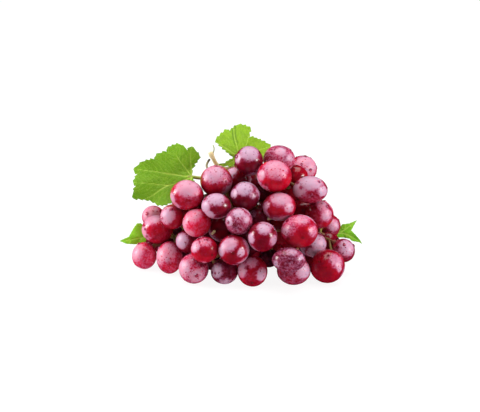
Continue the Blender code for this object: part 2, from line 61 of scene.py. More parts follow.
# Berries in sight: across, up, half width, half height, and how far away the CAD source's
# rules bring them. The last eleven stand on the surface.
BERRIES_IN_SIGHT = (
    (-23, 85.5, 13, 12.5, 14), (3, 101.5, 11.5, 12, 18),
    (28, 103, 12.8, 11.2, 25.069), (23.5, 89.5, 14, 13, 4.604),
    (46, 95, 11.5, 11, 56.901), (52, 78.5, 14, 11, 11.654),
    (-46.5, 74.5, 13.5, 12, 10), (-23, 65.5, 12, 10.5, -2.594),
    (0, 73.5, 12, 11.5, 4), (-3, 85.5, 11, 10.5, 34),
    (27.5, 65, 13.5, 11.5, 2.008), (-5, 53.5, 11, 11, -8.391),
    (-38.5, 52, 11.5, 11.5, 6.746), (-58, 57, 10, 10, 19),
    (-73.5, 57, 9, 9, 52.766), (-70, 47, 12.5, 11.5, 34.234),
    (-45.5, 37.5, 10, 10, 20.62), (-32.5, 30.5, 11, 10.5, -6.145),
    (-9, 30.5, 12.5, 12, -9), (14, 41, 12, 12, -12.019),
    (43.5, 45.5, 15, 13.5, -6.008), (59.5, 59, 11.5, 11.5, 21.025),
    (67, 49.5, 9.5, 9.5, 51.431), (54.5, 35, 11, 10.5, 22.389),
    (35, 22.5, 13.5, 10, -16.134), (78.5, 30, 9.5, 9.5, 23.622),
    (67, 36, 9, 9, 38.064), (11, 56, 9.5, 9.5, 16),
    (-18.5, 48, 11, 11, 18.229), (46.5, 61.5, 11, 10.5, 40.077),
    (41, 89, 9.5, 9.5, 34.892), (37.5, 76.5, 10, 10, 51.78),
    (11.5, 84, 9, 9, 50), (17, 75.5, 8, 8, 26),
    (39, 14, 13.5, 11.5, 5.188), (66, 17.5, 14, 13.5, 8.735),
    (-80.5, 26, 10, 11, 36.607), (-60.5, 24.5, 10.5, 13, 27.7),
    (-41, 15.5, 12, 12, 7.834), (-16.5, 13.5, 11, 10.5, 6.783),
    (6, 13.5, 12, 12.5, 1.818), (49, 23.5, 8.5, 8.5, 36.859),
    (19, 24.5, 8, 8, 40.755), (-28.5, 21, 7.5, 7.5, 33.23),
    (-49.5, 25.5, 7.5, 7.5, 44.676),
)
# Berries out of sight, also where the CAD source's rules put them: x, y, z and radius
BERRIES_OUT_OF_SIGHT = (
    (-35.36, 60.14, 31.389, 11.8), (8.284, 51.861, 34.478, 11.8),
    (30.029, 33.399, 36.592, 11.8), (-16.55, 60.318, 51.185, 11.8),
    (4.761, 76.939, 42.813, 11.8), (39.771, 50.932, 23.209, 11.8),
    (-58.724, 64.33, 19.352, 11.8), (-13.186, 52.012, 25.194, 11.8),
    (25.488, 67.813, 35.397, 11.8), (54.31, 66.323, 11.3, 11.8),
    (1.47, 30.149, 28.118, 11.8), (-18.612, 78.138, 36.275, 11.8),
    (52.464, 77.665, 31.518, 11.8), (2.709, 69.379, 20.121, 11.8),
    (-24.414, 67.273, 11.3, 11.8), (-41.535, 80.423, 21.754, 11.8),
    (25.107, 67.74, 11.3, 11.8), (-74.919, 81.421, 11.3, 11.8),
    (-49.228, 62.062, 49.753, 11.2), (39.863, 84.824, 13.655, 11.2),
    (68.723, 83.254, 10.1, 10.6), (-11.362, 85.249, 10.1, 10.6),
    (-29.545, 43.359, 54.186, 10), (-11.184, 33.328, 9.5, 10),
    (78.777, 59.235, 8.9, 9.4), (3.086, 49.053, 12.025, 9.4),
    (20.316, 83.721, 24.036, 8.8),
)

# Main stem and its two arms, as x, y, z and radius
TRUNK = (
    (-4, 75.5, 73.5, 2.2),
    (-1.5, 77, 70, 2.3),
    (-0.5, 77, 64, 2.5),
    (2, 69.5, 55.5, 2.6),
    (6, 55, 50, 2.8),
    (14, 47, 48, 2.6),
    (30, 46, 44, 2.3),
    (46, 46, 36, 2),
    (58, 47, 28, 1.6),
)
LEFT_ARM = (
    (6, 55, 50, 2.6),
    (-10, 49, 45, 2.4),
    (-30, 46, 36, 2.1),
    (-48, 47, 29, 1.8),
    (-58, 49, 24, 1.5),
)
TOP_ARM = (
    (18, 46.8, 47, 2.2),
    (26, 53, 57, 1.9),
    (28, 58, 69, 1.6),
)
STEM_STEP = 4.0
PEDICEL_RADIUS = 0.9
PEDICEL_SUNK = 2.5
PEDICEL_LEAD = 1.0
PEDICEL_DIRECTIONS = 48
NEAR_TREE_POINTS = 40
TRUNK_BARE_POINTS = 3
STEM_SIGHT = 60.0
CROSSING_SAMPLES = (0.1, 0.25, 0.4, 0.55, 0.7, 0.85)
CROSSING_COST = 20.0
BENDING_STEPS = 12
BENDING_SHARE = 0.5
EVENING_SHARE = 0.2
STEM_PIECES = 4
STEM_GROWTH = 0.3
# Ends of stems that carry no berry: one that lost it, and two that hold the low leaves
BARE_ENDS = (
    (-28.3, 102.9, 37),
    (-77, 40.8, 49),
    (69.5, 43, 65),
)

# The peduncle from its cut end to the bunch, as across, up, away and radius
STALK = (
    (-27.4, 108.6, 40, 2.3),
    (-26.8, 106.2, 40, 2.2),
    (-25.6, 104, 40, 1.7),
    (-23.2, 99.6, 41, 1.6),
    (-20, 97, 42, 1.5),
    (-15.2, 95.6, 43, 1.5),
    (-10, 96.6, 44, 1.6),
)
STALK_LEAD = 3.5
STALK_LEAD_RADIUS = 1.9
STALK_ROOM = 2.5
LEAF_ROOM = 1.5
TENDRIL = (
    (-26.4, 106, 40),
    (-25, 109.6, 39),
    (-24.8, 112, 38.5),
    (-25.6, 114.4, 38.5),
)
TENDRIL_RADIUS = 0.5
GAP = 0.35

BLADE_THICKNESS = 0.9
BLADE_RINGS = (0.35, 0.7, 1.0)
OUTLINE_STEP = 5.0
# Each leaf's outline and pole are across and up. Slope is how it leans away with those two.
LEAVES = (
    {
        "name": "leaf_left",
        "outline": (
            (-42.3, 95), (-40.2, 99.1), (-37.8, 101.7), (-36.2, 105.8), (-38.2, 108.8),
            (-42.8, 113.4), (-46, 110.4), (-50.8, 114.6), (-55.8, 115), (-62.2, 112.4),
            (-62.6, 109.3), (-66.6, 108.4), (-71.4, 106.2), (-72.6, 103.2), (-80, 101.9),
            (-84.8, 99.1), (-89.4, 94.8), (-86.3, 91.1), (-89.7, 85), (-87.4, 81.7),
            (-89.2, 78), (-90, 71.8), (-76.5, 70.2), (-68.4, 66.2), (-65, 66.2),
            (-58.4, 68.4), (-51.2, 68), (-45.6, 72.8), (-41.6, 78.4), (-40, 83.2),
            (-41.2, 86.4), (-42.4, 88.8),
        ),
        "pole": (-63.2, 89.6),
        "away": 33,
        "slope": (0.1, 0.25),
        "cup": -4,
        "wave": 1.4,
        "waves": 5,
        "petiole": (
            (-46, 88.9, 34), (-42.4, 88.8, 34.8), (-33.6, 88, 36),
            (-24.8, 90.4, 39), (-18, 92.6, 41.5),
        ),
    },
    {
        "name": "leaf_top",
        "outline": (
            (-10, 104.8), (-24, 117.6), (-20.8, 121.6), (-15, 127), (-12.4, 125.9),
            (-7.4, 130.2), (-2, 130.7), (4.6, 128.5), (2.9, 120.6), (7.4, 120.6),
            (13, 118.2), (16.6, 116.5), (20.7, 113.4), (17.6, 106.4), (10.4, 100),
            (4, 97.5), (-2.4, 97.5), (-8.8, 98), (-13.6, 97.6), (-19.2, 98),
            (-20.4, 99.4), (-15.2, 101.4),
        ),
        "pole": (-1.6, 105.6),
        "away": 41,
        "slope": (0.15, 0.3),
        "cup": 3,
        "wave": 1.2,
        "waves": 4,
        "petiole": (
            (-3, 106, 41.2), (-4, 104, 41), (-5, 101.6, 41.6), (-6, 99.6, 42.6),
        ),
    },
    {
        "name": "leaf_low_left",
        "outline": (
            (-100.2, 37.7), (-92.8, 41.1), (-89.2, 47.8), (-86.2, 51.8), (-83.1, 51.8),
            (-80.4, 48.8), (-78.4, 44), (-78.4, 40), (-80, 36.4), (-82.1, 36.1),
            (-87.2, 35), (-94.8, 35.3),
        ),
        "pole": (-85.6, 41.6),
        "away": 50,
        "slope": (0.1, 0.2),
        "cup": 2,
        "wave": 0.8,
        "waves": 3,
        "petiole": (),
    },
    {
        "name": "leaf_low_right",
        "outline": (
            (89.4, 54.2), (83.8, 51.8), (77.6, 50.9), (75.6, 47.8), (72, 46.8),
            (71.2, 43.6), (74.1, 40.4), (78.6, 40.4), (83.3, 39.6), (85.8, 37.6),
            (90.9, 36.8), (93.8, 35.3), (91.4, 39.1), (87.8, 43.2), (85, 46),
            (86.8, 49.6),
        ),
        "pole": (79.2, 44.8),
        "away": 64,
        "slope": (-0.1, 0.2),
        "cup": 2,
        "wave": 0.8,
        "waves": 3,
        "petiole": (),
    },
)


def unit(vector):
    """The vector at length 1."""
    return vector / np.linalg.norm(vector)


def seen(across, up, away):
    """The point that is seen at across and up, this far away."""
    scale = 1 + away / VIEW_DISTANCE
    right = VIEW_CENTRE[0] + (across - VIEW_CENTRE[0]) * scale
    rise = VIEW_CENTRE[1] + (up - VIEW_CENTRE[1]) * scale
    return right * RIGHT + rise * UP + away * AWAY


def berry_in_sight(across, up, half_width, half_height, away):
    """A berry's middle and its radii along RIGHT, UP and AWAY."""
    scale = 1 + away / VIEW_DISTANCE
    half_depth = (half_width + half_height) / 2
    return seen(across, up, away), scale * np.array([half_width, half_height, half_depth])


def reach(radii, direction):
    """A berry's radius in a direction. Both may be rows of many."""
    along = np.stack([direction @ RIGHT, direction @ UP, direction @ AWAY], axis=-1)
    return 1 / np.sqrt(((along / radii) ** 2).sum(axis=-1))


def stem_points(path):
    """Points along a stem, STEM_STEP apart, with the radius there."""
    path = np.array(path)
    rows = []
    for start, end in zip(path, path[1:]):
        count = max(1, round(np.linalg.norm(end[:3] - start[:3]) / STEM_STEP))
        rows += [start + (end - start) * step / count for step in range(count)]
    return np.array(rows + [path[-1]])


def spread_directions(count):
    """Directions spread evenly over a sphere."""
    turn = math.pi * (3 - math.sqrt(5))
    rise = 1 - (2 * np.arange(count) + 1) / count
    flat = np.sqrt(1 - rise**2)
    angle = turn * np.arange(count)
    return np.stack([flat * np.cos(angle), flat * np.sin(angle), rise], axis=1)


def crossing(starts, ends, middles, sizes):
    """How much of the way from each start to each end lies in berries, in millimetres."""
    total = np.zeros((len(starts), len(ends)))
    for fraction in CROSSING_SAMPLES:
        points = starts[:, None] * (1 - fraction) + ends[None] * fraction
        gap = np.linalg.norm(points[:, :, None] - middles, axis=-1) - sizes
        total += np.maximum(-gap, 0).sum(axis=-1)
    return total / len(CROSSING_SAMPLES)


def bent_clear(path, middles, sizes):
    """The path with its inner points pushed out of the berries."""
    path = path.copy()
    for _ in range(BENDING_STEPS):
        inner = path[1:-1]
        away_from = inner[:, None] - middles
        distance = np.linalg.norm(away_from, axis=-1)
        depth = np.maximum(sizes - distance, 0)
        push = (away_from * (depth / distance)[..., None]).sum(axis=1)
        inner = inner + BENDING_SHARE * push
        even = (path[:-2] + path[2:]) / 2
        path[1:-1] = inner + EVENING_SHARE * (even - inner)
    return path


def grown_stem(starts, tree, middles, sizes):
    """The easiest way from one of the starts to the tree, and the tree point it joins."""
    near = np.argsort(np.linalg.norm(tree - starts.mean(axis=0), axis=1))[:NEAR_TREE_POINTS]
    ends = tree[near]
    length = np.linalg.norm(starts[:, None] - ends, axis=-1)
    cost = length + CROSSING_COST * crossing(starts, ends, middles, sizes)
    start, end = np.unravel_index(cost.argmin(), cost.shape)
    way = np.linspace(0, 1, STEM_PIECES + 1)[:, None]
    path = starts[start] * (1 - way) + ends[end] * way
    return bent_clear(path, middles, sizes), near[end]


def grown_stems(middles, radii, main_stem, obstacles):
    """The stems from each berry and each bare end to the main stem: points and end radii."""
    tree = main_stem[TRUNK_BARE_POINTS:, :3]
    owner = [-1] * len(tree)
    solid = np.vstack([middles, obstacles[:, :3]])
    sizes = np.append(radii.mean(axis=1), obstacles[:, 3]) + PEDICEL_RADIUS
    directions = spread_directions(PEDICEL_DIRECTIONS)
    bare = [seen(*point) for point in BARE_ENDS]
    nearest = [np.linalg.norm(tree - middle, axis=1).min() for middle in middles]
    stems = []
    for index in list(np.argsort(nearest)) + [None] * len(bare):
        if index is None:
            starts = np.array([bare[len(stems) - len(middles)]])
        else:
            far_out = reach(radii[index], directions) + PEDICEL_LEAD
            starts = middles[index] + far_out[:, None] * directions
        close = np.linalg.norm(solid - starts.mean(axis=0), axis=1) < STEM_SIGHT
        path, joined = grown_stem(starts, tree, solid[close], sizes[close])
        if index is not None:
            inward = unit(middles[index] - path[0])
            path = np.vstack([path[0] + (PEDICEL_LEAD + PEDICEL_SUNK) * inward, path])
        stems.append((index, path, owner[joined]))
        tree = np.vstack([tree, path[2:-1]])
        owner += [len(stems) - 1] * len(path[2:-1])
    carried = [1] * len(stems)
    for number in reversed(range(len(stems))):
        if stems[number][2] >= 0:
            carried[stems[number][2]] += carried[number]
    return [
        (index, path, PEDICEL_RADIUS * count**STEM_GROWTH)
        for (index, path, _), count in zip(stems, carried)
    ]


def placed(point):
    """A point in millimetres as Blender's metres, measured from the origin."""
    return (np.asarray(point) - ORIGIN) * MM


def refined(outline):
    """The outline with points added so that none are more than OUTLINE_STEP apart."""
    points = []
    outline = np.array(outline)
    for start, end in zip(outline, np.roll(outline, -1, axis=0)):
        count = math.ceil(np.linalg.norm(end - start) / OUTLINE_STEP)
        points += [start + (end - start) * step / count for step in range(count)]
    return np.array(points)


def leaf_away(leaf, points):
    """How far away a leaf's waved surface is at points across and up."""
    pole = np.array(leaf["pole"])
    spokes = refined(leaf["outline"]) - pole
    spoke_length = np.linalg.norm(spokes, axis=1)
    spoke_angle = np.arctan2(spokes[:, 1], spokes[:, 0])
    order = np.argsort(spoke_angle)
    offset = points - pole
    length = np.linalg.norm(offset, axis=1)
    angle = np.arctan2(offset[:, 1], offset[:, 0])
    rim = np.interp(angle, spoke_angle[order], spoke_length[order], period=2 * math.pi)
    away = leaf["away"] + offset @ np.array(leaf["slope"])
    away = away + leaf["cup"] * length**2 / spoke_length.max() ** 2
    return away + leaf["wave"] * np.minimum(length / rim, 1) ** 2 * np.sin(leaf["waves"] * angle)


def blade_points(leaf):
    """Points over both faces of a leaf's blade, in rings round its pole."""
    pole = np.array(leaf["pole"])
    spokes = refined(leaf["outline"]) - pole
    flat = np.vstack([pole] + [pole + fraction * spokes for fraction in BLADE_RINGS])
    return [
        seen(*point, depth + face * BLADE_THICKNESS / 2)
        for face in (-1, 1)
        for point, depth in zip(flat, leaf_away(leaf, flat))
    ]


def stalk_path():
    """The peduncle's points and radii, down to its narrow gap to the trunk."""
    meeting = np.array(TRUNK[0][:3])
    towards = unit(meeting - np.array(TRUNK[1][:3]))
    path = [seen(*point[:3]) for point in STALK]
    path += [meeting + towards * STALK_LEAD, meeting + towards * GAP]
    return path, [point[3] for point in STALK] + [STALK_LEAD_RADIUS, TRUNK[0][3]]


# How each berry in sight looks: tone from 0, bright red, to 1, dark purple; the bloom all over
# it; and its patches, as across and up on its disc, size in radians, strength. The patches are
# thicker bloom and also painted highlights, at the top, left and right where the overhead, left
# and right softboxes shine on a berry
BERRY_LOOKS = (
    (0.38, 0.12, ((-0.15, 0.55, 0.8, 0.85), (0.6, 0.25, 0.45, 0.5))),
    (0.65, 0.08, ((0.05, 0.62, 0.72, 1.0), (-0.8, 0.15, 0.35, 0.95))),
    (0.45, 0.35, ((0.1, 0.55, 0.4, 0.95), (0.7, 0.1, 0.35, 0.75))),
    (0.25, 0.08, ((0.1, 0.55, 0.85, 0.75), (-0.78, 0.05, 0.35, 1.0), (-0.55, -0.75, 0.3, 0.5))),
    (0.30, 0.10, ((0.3, 0.3, 1.0, 0.9),)),
    (0.50, 0.20, ((0.0, 0.7, 0.85, 1.0), (-0.75, 0.0, 0.6, 0.95), (0.75, -0.1, 0.4, 1.0))),
    (0.32, 0.15, ((0.1, 0.6, 0.85, 1.0), (-0.9, -0.2, 0.4, 0.9), (-0.6, -0.72, 0.3, 0.7))),
    (0.60, 0.10, ((-0.05, 0.65, 0.72, 1.0), (-0.8, -0.05, 0.5, 1.0), (-0.45, -0.65, 0.4, 0.85))),
    (0.70, 0.05, ((-0.05, 0.6, 0.65, 1.0), (-0.75, 0.2, 0.38, 0.9), (0.55, 0.0, 0.3, 0.45))),
    (0.50, 0.10, ((-0.6, 0.5, 0.6, 0.95),)),
    (0.35, 0.08, ((0.1, 0.65, 0.72, 0.9), (0.6, -0.05, 0.38, 1.0), (-0.8, 0.1, 0.3, 0.7))),
    (0.58, 0.32, ((0.0, 0.62, 0.55, 0.85), (-0.75, 0.0, 0.42, 0.95), (0.6, 0.2, 0.38, 0.8))),
    (0.02, 0.23, ((-0.3, 0.6, 0.75, 0.75), (-0.9, -0.1, 0.45, 0.9), (-0.5, -0.7, 0.45, 0.7))),
    (0.40, 0.10, ((-0.5, 0.15, 0.8, 1.0),)),
    (0.20, 0.20, ((-0.3, 0.4, 1.1, 0.85),)),
    (0.28, 0.14, ((-0.3, 0.8, 0.7, 0.85), (-0.9, -0.2, 0.45, 0.95), (-0.65, -0.55, 0.35, 0.6))),
    (0.65, 0.10, ((-0.6, 0.05, 0.7, 1.0),)),
    (0.30, 0.10, ((-0.7, 0.3, 0.5, 0.95), (0.1, 0.65, 0.55, 0.5), (0.0, -0.95, 0.25, 0.5))),
    (0.42, 0.08, ((-0.35, 0.45, 0.6, 0.85), (-0.85, -0.1, 0.36, 1.0), (0.5, -0.15, 0.3, 1.0))),
    (0.55, 0.08, ((0.1, 0.62, 0.52, 0.85), (-0.8, -0.1, 0.36, 1.0), (0.78, -0.25, 0.42, 0.7))),
    (0.32, 0.08, (
        (-0.7, 0.35, 0.8, 0.4), (0.1, 0.75, 0.5, 0.6),
        (-0.8, 0.0, 0.3, 0.85), (0.75, 0.0, 0.4, 0.55),
    )),
    (0.35, 0.15, ((0.2, 0.65, 0.5, 0.75), (0.5, -0.05, 0.5, 0.8))),
    (0.45, 0.15, ((0.4, 0.1, 0.6, 0.75),)),
    (0.55, 0.20, ((0.5, 0.1, 0.75, 1.0), (0.0, -0.7, 0.6, 0.8))),
    (0.70, 0.26, ((0.2, 0.7, 0.45, 0.6), (-0.78, -0.3, 0.36, 0.6), (0.75, 0.2, 0.32, 0.75))),
    (0.55, 0.15, ((0.3, 0.3, 0.85, 0.85),)),
    (0.60, 0.00, ()),
    (0.65, 0.15, ((-0.6, 0.3, 0.5, 0.4),)),
    (0.60, 0.05, ()),
    (0.50, 0.05, ()),
    (0.40, 0.05, ()),
    (0.45, 0.05, ()),
    (0.60, 0.05, ()),
    (0.70, 0.05, ()),
    (0.50, 0.25, ((0.65, 0.05, 0.65, 1.0),)),
    (0.42, 0.08, ((0.5, 0.35, 0.5, 0.65), (0.65, -0.15, 0.18, 0.9))),
    (0.10, 0.30, ((-0.7, 0.3, 0.8, 0.95),)),
    (0.20, 0.25, ((-0.75, 0.1, 0.6, 1.0), (-0.1, 0.4, 0.8, 0.75))),
    (0.28, 0.35, ((-0.75, 0.05, 0.7, 1.0), (0.2, -0.5, 0.65, 0.8))),
    (0.70, 0.15, ((-0.65, 0.05, 0.6, 0.95), (0.1, -0.85, 0.55, 0.6))),
    (0.35, 0.12, ((-0.78, 0.1, 0.5, 1.0), (-0.1, 0.65, 0.5, 0.6), (0.66, -0.2, 0.45, 1.0))),
    # The last four, on the surface in gaps of the bunch, are near black with no bloom: painted
    # shade
    (0.80, 0.00, ()),
    (1.00, 0.00, ()),
    (0.95, 0.00, ()),
    (0.80, 0.00, ()),
)
# How far across and up a few berries, counted from 0, are moved from the CAD source's place to
# close gaps in the picture
NUDGES = {2: (-0.8, 0.0), 9: (-3.0, 1.5), 43: (1.8, 0.8), 70: (1.8, 0.0)}
# Where a patch starts to show and where it is full, as shares of its size
PATCH_EDGE = (1.35, 0.5)
CHANCE_TONES = (0.4, 0.95)
CHANCE_SIZES = (0.4, 0.9)
CHANCE_STRENGTHS = (0.6, 1.0)
FAR_PATCHES = 3
HIDDEN_PATCHES = 4
HIDDEN_BLOOM = 0.05
LOOKS_SEED = 11

BERRY_SIDES = 48
BERRY_RINGS = 30
POLE_CROWDING = 0.6
PIT_DEPTH = 0.035
PIT_WIDTH = 0.2
SCAR_HEIGHT = 0.012
SCAR_WIDTH = 0.06
UNEVENNESS = 0.004
UNEVEN_WAVES = 6
WAVE_TURNS = 2.2

DROPLETS_PER_BERRY = 14
DROPLET_SEED = 3
DROPLET_SIZES = (0.4, 1.8)
DROPLET_HEIGHT = 0.5
DROPLET_SIDES = 14
DROPLET_RINGS = 7
DROPLET_RISE = 0.4
DROPLET_ROOM = 0.6
DROPLET_LOWEST = 2

SIDE_HINT = AWAY + 0.1 * RIGHT
TUBE_SIDES = 12
TUBE_END = 0.3
GRAIN_STRETCH = 0.12
SMOOTHING = 5
RECEPTACLE_SWELL = 1.0
RECEPTACLE_LENGTH = 1.3
TWIG_BOW = 5.5
TWIG_BOW_LENGTH = 17.0
# Pale ends of pedicels that lost their berry, as across, up and away
STUBS = (
    ((-26.4, 43.2, 9), (-25.2, 44.6, 7), (-24.3, 45.5, 5.2)),
    ((21, 55.6, 12.5), (19.8, 55.4, 11), (18.6, 55.2, 9)),
)
STUB_RADIUS = 1.0

# Main veins of each leaf as across and up, from where its stalk joins it
LEAF_VEINS = {
    "leaf_left": (
        ((-42.4, 88.8), (-60, 91.2), (-75, 93.6), (-88.8, 95.2)),
        ((-42.4, 88.8), (-47, 95), (-52, 101.5), (-58, 111)),
        ((-42.4, 88.8), (-43, 96), (-43.6, 104), (-43, 112)),
        ((-42.4, 88.8), (-52, 85), (-61, 82.4), (-75, 83.5), (-88.8, 84.6)),
        ((-61, 82.4), (-68, 78.5), (-74, 74), (-80, 71.5)),
        ((-42.4, 88.8), (-46, 82), (-52, 75), (-57, 69)),
    ),
    "leaf_top": (
        ((-4, 104), (-6, 112), (-8.5, 121), (-9, 129)),
        ((-4, 104), (0, 112), (2.5, 120), (4, 127.5)),
        ((-4, 104), (6, 108), (13, 111), (20, 113)),
        ((-4, 104), (-11, 109), (-17, 113), (-23, 117)),
        ((-4, 104), (-9, 102), (-14, 99.6), (-19.6, 98.6)),
    ),
    "leaf_low_left": (
        ((-79, 41), (-84, 40), (-91, 38.6), (-99, 37.8)),
        ((-79, 41), (-83, 45), (-84.6, 51)),
    ),
    "leaf_low_right": (
        ((72.4, 43.6), (78, 45.5), (83, 49), (88.8, 53.6)),
        ((72.4, 43.6), (79, 43.6), (86, 40.6), (93, 36)),
    ),
}
# How long and high the teeth of each leaf's edge are
LEAF_TEETH = {"leaf_left": (4.6, 1.5), "leaf_top": (3.8, 1.4)}
SMALL_TEETH = (3.0, 0.25)
TOOTH_PEAK = 0.8
TOOTH_LEAST = 0.5
TOOTH_SUNK = 0.1
TOOTH_CHANGE = 2.4
# How dark the painted shade in the fold along a leaf's first vein is, how far off the vein, and
# where it sets in
FOLD_SHADES = {"leaf_top": 0.8}
FOLD_PLACE = 1.1
FOLD_WIDTH = 0.5
FOLD_START = (0.3, 0.6)
LEAF_THICKNESS = 0.4
EDGE_STEP = 0.3
MESH_STEP = 0.65
ROW_SHARE = 0.866
SAME_POINT = 1e-5
VEIN_STEPS = 8
VEIN_WIDTH = 0.37
VEIN_TAPER = 1.3
VEIN_DEPTH = 0.35
SIDE_VEIN_STEPS = 12
SIDE_VEIN_SPACING = 4.5
SIDE_VEIN_END = 2
SIDE_VEIN_ANGLE = math.radians(48)
SIDE_VEIN_BEND = 0.6
SIDE_VEIN_LENGTH = (5, 0.35)
SIDE_VEIN_WIDTH = 0.3
SIDE_VEIN_SHARE = 0.18
PUFF = 0.25
PUFF_WIDTH = 2
# Painted light on a leaf: its share at the lowest point and what it gains towards the top
LEAST_LIGHT = 0.3
LIGHT_GAIN = 0.3


def linear(red, green, blue):
    """A colour as a paint program shows it, 0 to 255, in the renderer's linear light."""
    parts = np.array([red, green, blue]) / 255
    bright = ((parts + 0.055) / 1.055) ** 2.4
    return (*np.where(parts > 0.04045, bright, parts / 12.92), 1.0)


# Colours of the bare skin from tone 0 to 1, and of thin and thick bloom at tone 0 and 1; the
# thick bloom's colour also paints the highlights in the patches
SKIN_STOPS = (
    (0.0, linear(218, 4, 36)),
    (0.35, linear(152, 1, 26)),
    (0.7, linear(100, 0, 24)),
    (1.0, linear(46, 0, 16)),
)
SPECK_COLOUR = linear(190, 80, 100)
FILM_COLOURS = (linear(226, 42, 120), linear(140, 36, 94))
WAX_AND_HIGHLIGHT_COLOURS = (linear(216, 148, 170), linear(200, 165, 190))
# A pink tint that darkens the droplets: partly the wetted skin under them, partly painted shade
# for their dark rims
WETTING_AND_SHADE_TINT = linear(206, 122, 150)
# Colours of each stem: young, old and dark bark, and of the bare twig its withered end
GREEN_STEM = (linear(140, 132, 54), linear(138, 84, 50), linear(92, 40, 36))
BARE_TWIG = (
    linear(176, 170, 124), linear(150, 140, 96), linear(100, 84, 52), linear(58, 42, 18),
)
DRY_STEM = (linear(252, 242, 196), linear(246, 228, 164), linear(216, 180, 120))
TENDRIL_BARK = (linear(176, 192, 136), linear(166, 178, 120), linear(132, 134, 90))
# Radius and bark of each petiole
PETIOLE_LOOKS = {
    "leaf_left": (1.4, linear(182, 206, 92), linear(176, 186, 84), linear(150, 150, 64)),
    "leaf_top": (1.0, linear(226, 204, 110), linear(212, 176, 96), linear(160, 116, 56)),
}
# Colours of each leaf: its middle tone and its bright one, mixed by painted light that grows
# towards the leaf's top, and its veins
LEAF_COLOURS = {
    "leaf_left": (linear(104, 158, 8), linear(126, 174, 14), linear(204, 232, 96)),
    "leaf_top": (linear(118, 158, 8), linear(144, 186, 12), linear(190, 216, 86)),
    "leaf_low_left": (linear(122, 194, 20), linear(164, 216, 44), linear(196, 220, 90)),
    "leaf_low_right": (linear(88, 160, 6), linear(132, 184, 24), linear(182, 212, 90)),
}
# The colour of the painted shade in a fold
FOLD_SHADE_COLOUR = linear(78, 122, 4)
# How far from its start the bark is withered, in metres of grain
WITHERED = (0.0002, 0.0005)

FLOOR_HALF = 40.0
FLOOR_GREY = 0.12
FLOOR_GLOW = 0.89
# Name, place, size and watts of each light, in metres
SOFTBOXES = (
    ("overhead", (0.0, 0.25, 1.3), 1.3, 17.0),
    ("left", (-1.0, 0.05, 0.35), 0.4, 10.5),
    ("right", (0.95, -0.3, 0.3), 0.3, 7.0),
)
LIT_POINT = (0, 0, 0.05)
SKY_STRENGTH = 0.47
# The camera's sensor, and the width of 480 photo pixels of 0.8 mm
SENSOR = 36.0
FRAME_WIDTH = 480 * 0.8


class Nodes:
    """A new material's node tree, with short calls for the nodes that it needs."""

    def __init__(self, name):
        self.material = bpy.data.materials.new(name)
        self.material.use_nodes = True
        self.tree = self.material.node_tree
        self.shader = self.tree.nodes["Principled BSDF"]

    def put(self, node, socket, value):
        """Links a socket to an output, or sets it to a value."""
        if isinstance(value, bpy.types.NodeSocket):
            self.tree.links.new(value, node.inputs[socket])
        else:
            node.inputs[socket].default_value = value

    def fill(self, node, inputs):
        """Links or sets input sockets by name, with _ for a space."""
        for key, value in inputs.items():
            self.put(node, key.replace("_", " "), value)

    def shade(self, **inputs):
        self.fill(self.shader, inputs)

    def add(self, kind, settings=(), **inputs):
        """A node with its settings and input sockets."""
        node = self.tree.nodes.new(kind)
        for key, value in dict(settings).items():
            setattr(node, key, value)
        self.fill(node, inputs)
        return node

    def attribute(self, name, output="Fac"):
        return self.add("ShaderNodeAttribute", {"attribute_name": name}).outputs[output]

    def object_place(self):
        return self.add("ShaderNodeTexCoord").outputs["Object"]

    def noise(self, place, per_metre, detail=3.0, roughness=0.5, distortion=0.0):
        return self.add(
            "ShaderNodeTexNoise", Vector=place, Scale=per_metre, Detail=detail,
            Roughness=roughness, Distortion=distortion,
        ).outputs["Fac"]

    def range(self, value, low, high, new_low=0.0, new_high=1.0):
        """A value's range low to high mapped smoothly to the new one."""
        return self.add(
            "ShaderNodeMapRange", {"interpolation_type": "SMOOTHSTEP"}, Value=value,
            From_Min=low, From_Max=high, To_Min=new_low, To_Max=new_high,
        ).outputs["Result"]

    def sum(self, operation, first, second):
        node = self.add("ShaderNodeMath", {"operation": operation})
        self.put(node, 0, first)
        self.put(node, 1, second)
        return node.outputs[0]

    def mix(self, share, first, second):
        """A mix of two colours, by share from the first to the second."""
        node = self.add("ShaderNodeMix", {"data_type": "RGBA"})
        for socket, value in ((0, share), (6, first), (7, second)):
            self.put(node, socket, value)
        return node.outputs[2]

    def ramp(self, share, stops):
        """A colour along a row of (position, colour) stops."""
        node = self.add("ShaderNodeValToRGB", Fac=share)
        band = node.color_ramp.elements
        while len(band) < len(stops):
            band.new(0.5)
        for element, (position, colour) in zip(band, stops):
            element.position = position
            element.color = colour
        return node.outputs["Color"]

    def bump(self, height, distance):
        node = self.add("ShaderNodeBump", Height=height, Distance=distance)
        self.shade(Normal=node.outputs["Normal"])


